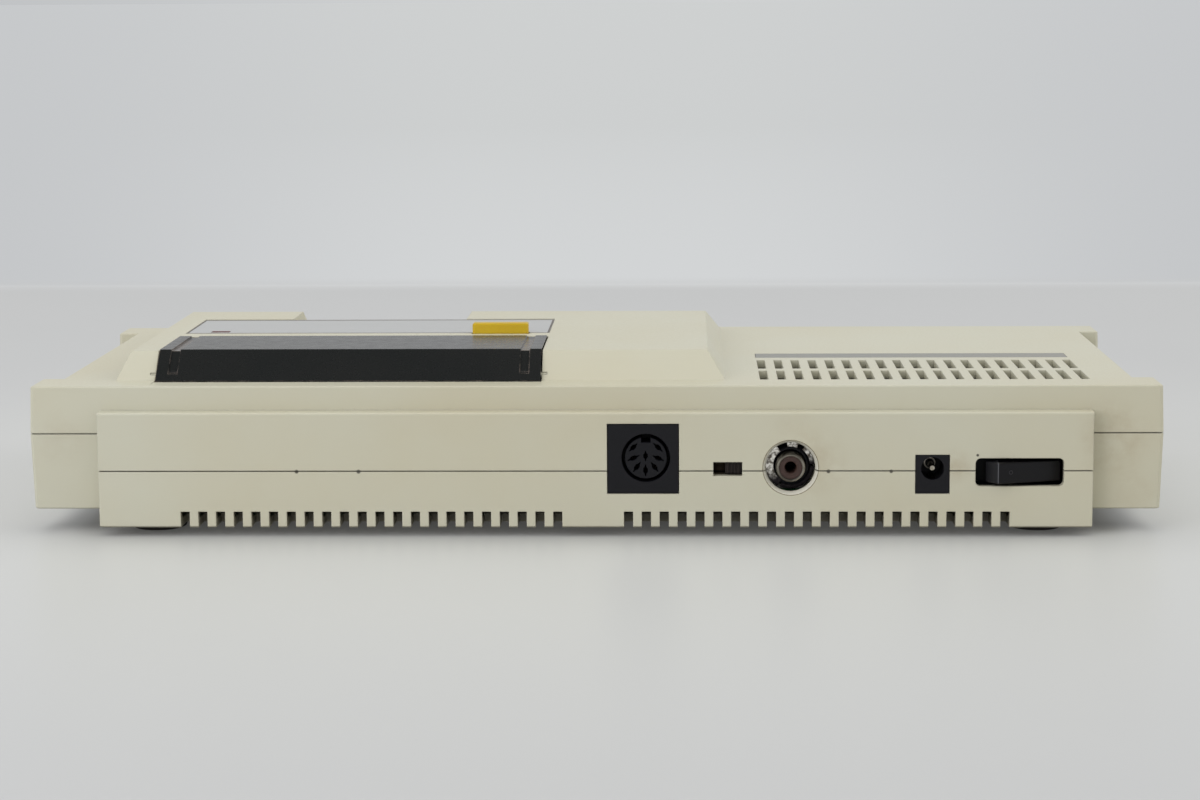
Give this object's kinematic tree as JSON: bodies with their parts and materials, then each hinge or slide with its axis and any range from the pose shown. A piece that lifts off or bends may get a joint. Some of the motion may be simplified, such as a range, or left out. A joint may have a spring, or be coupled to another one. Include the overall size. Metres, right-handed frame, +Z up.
{
  "type": "video game console",
  "caption": "Home video game console with a cartridge door, card slot, vent grille, side docks and rear sockets, built with its boards and switches inside.",
  "frame": {"origin": "middle of the bounding box at the underside of the feet", "axes": "+Z up, +Y towards the rear connectors, +X to the user's right"},
  "size_m": [0.318, 0.148, 0.0526],
  "materials": {
    "case_plastic": "warm grey moulded plastic, aged slightly yellow, fine matt grain",
    "door_plastic": "black, satin gloss with fine scratches",
    "plate_metal": "thin satin silver plate with a fine grain",
    "band_grey": "mid grey, matt",
    "button_yellow": "strong yellow, satin",
    "indicator_red": "clear red, polished",
    "foot_rubber": "dull black rubber",
    "screw_steel": "zinc plated",
    "board_laminate": "green lacquered laminate",
    "black_plastic": "black moulded plastic, slightly dusty",
    "tinned_steel": "tin plated sheet, dull and blotchy",
    "contact_metal": "plated contact metal",
    "insulator_brown": "brown pressed laminate",
    "chip_black": "black moulded epoxy",
    "capacitor_sleeve": "dark blue shrink sleeve",
    "heat_sink_metal": "black anodised",
    "cable_grey": "grey ribbon insulation"
  },
  "bodies": {
    "console": {"upper_case": "case_plastic", "lower_case": "case_plastic", "rubber_feet": "foot_rubber", "case_screws": "screw_steel", "main_board": "board_laminate", "board_screws": "screw_steel", "legend_plate": "plate_metal", "stripe_band": "band_grey", "power_led": "indicator_red", "led_leads": "tinned_steel", "switch_board": "board_laminate", "led_board": "board_laminate", "small_board_screws": "screw_steel", "pause_switch": "black_plastic", "card_guide": "black_plastic", "card_connector": "black_plastic", "card_contacts": "contact_metal", "card_riser_board": "board_laminate", "riser_header": "black_plastic", "cartridge_connector": "black_plastic", "cartridge_contacts": "contact_metal", "av_socket": "black_plastic", "av_contacts": "contact_metal", "rf_modulator": "tinned_steel", "rf_jack_washer": "black_plastic", "rf_jack_shell": "tinned_steel", "rf_jack_insulator": "insulator_brown", "rf_jack_contact": "contact_metal", "channel_switch": "tinned_steel", "dc_jack": "black_plastic", "dc_jack_pin": "contact_metal", "dc_jack_spring": "contact_metal", "power_switch": "black_plastic", "controller_ports": "black_plastic", "port_pins": "contact_metal", "expansion_connector": "black_plastic", "processor_chip": "chip_black", "video_chip": "chip_black", "memory_chips": "chip_black", "logic_chips": "chip_black", "crystal": "tinned_steel", "capacitors": "capacitor_sleeve", "heat_sink": "heat_sink_metal", "regulator": "chip_black", "shield_cover": "tinned_steel", "switch_cable": "cable_grey", "led_cable": "cable_grey"},
    "door": {"cartridge_door": "door_plastic"},
    "button": {"pause_button": "button_yellow", "pause_plunger": "black_plastic"},
    "channel_slider": {"channel_slider": "black_plastic"},
    "power_rocker": {"power_rocker": "black_plastic"},
    "expansion_cover": {"expansion_cover": "case_plastic"}
  },
  "joints": [
    {"name": "door_hinge", "type": "hinge", "parent": "console", "child": "door", "pos_m": [0.07025, 0.05144, 0.04287], "axis": [-1, 0, 0], "range_deg": [0, 95]},
    {"name": "button_press", "type": "slide", "parent": "console", "child": "button", "axis": [0, 0, -1], "range_m": [0, 0.0018], "stiffness_N_per_m": 500, "springref_m": -0.001},
    {"name": "channel_slide", "type": "slide", "parent": "console", "child": "channel_slider", "axis": [1, 0, 0], "range_m": [0, 0.003]},
    {"name": "power_rock", "type": "hinge", "parent": "console", "child": "power_rocker", "pos_m": [-0.1186, 0.06498, 0.0182], "axis": [0, 0, 1], "range_deg": [-34, 0]},
    {"name": "cover_pull", "type": "slide", "parent": "console", "child": "expansion_cover", "axis": [0, -1, 0], "range_m": [0, 0.012]}
  ]
}
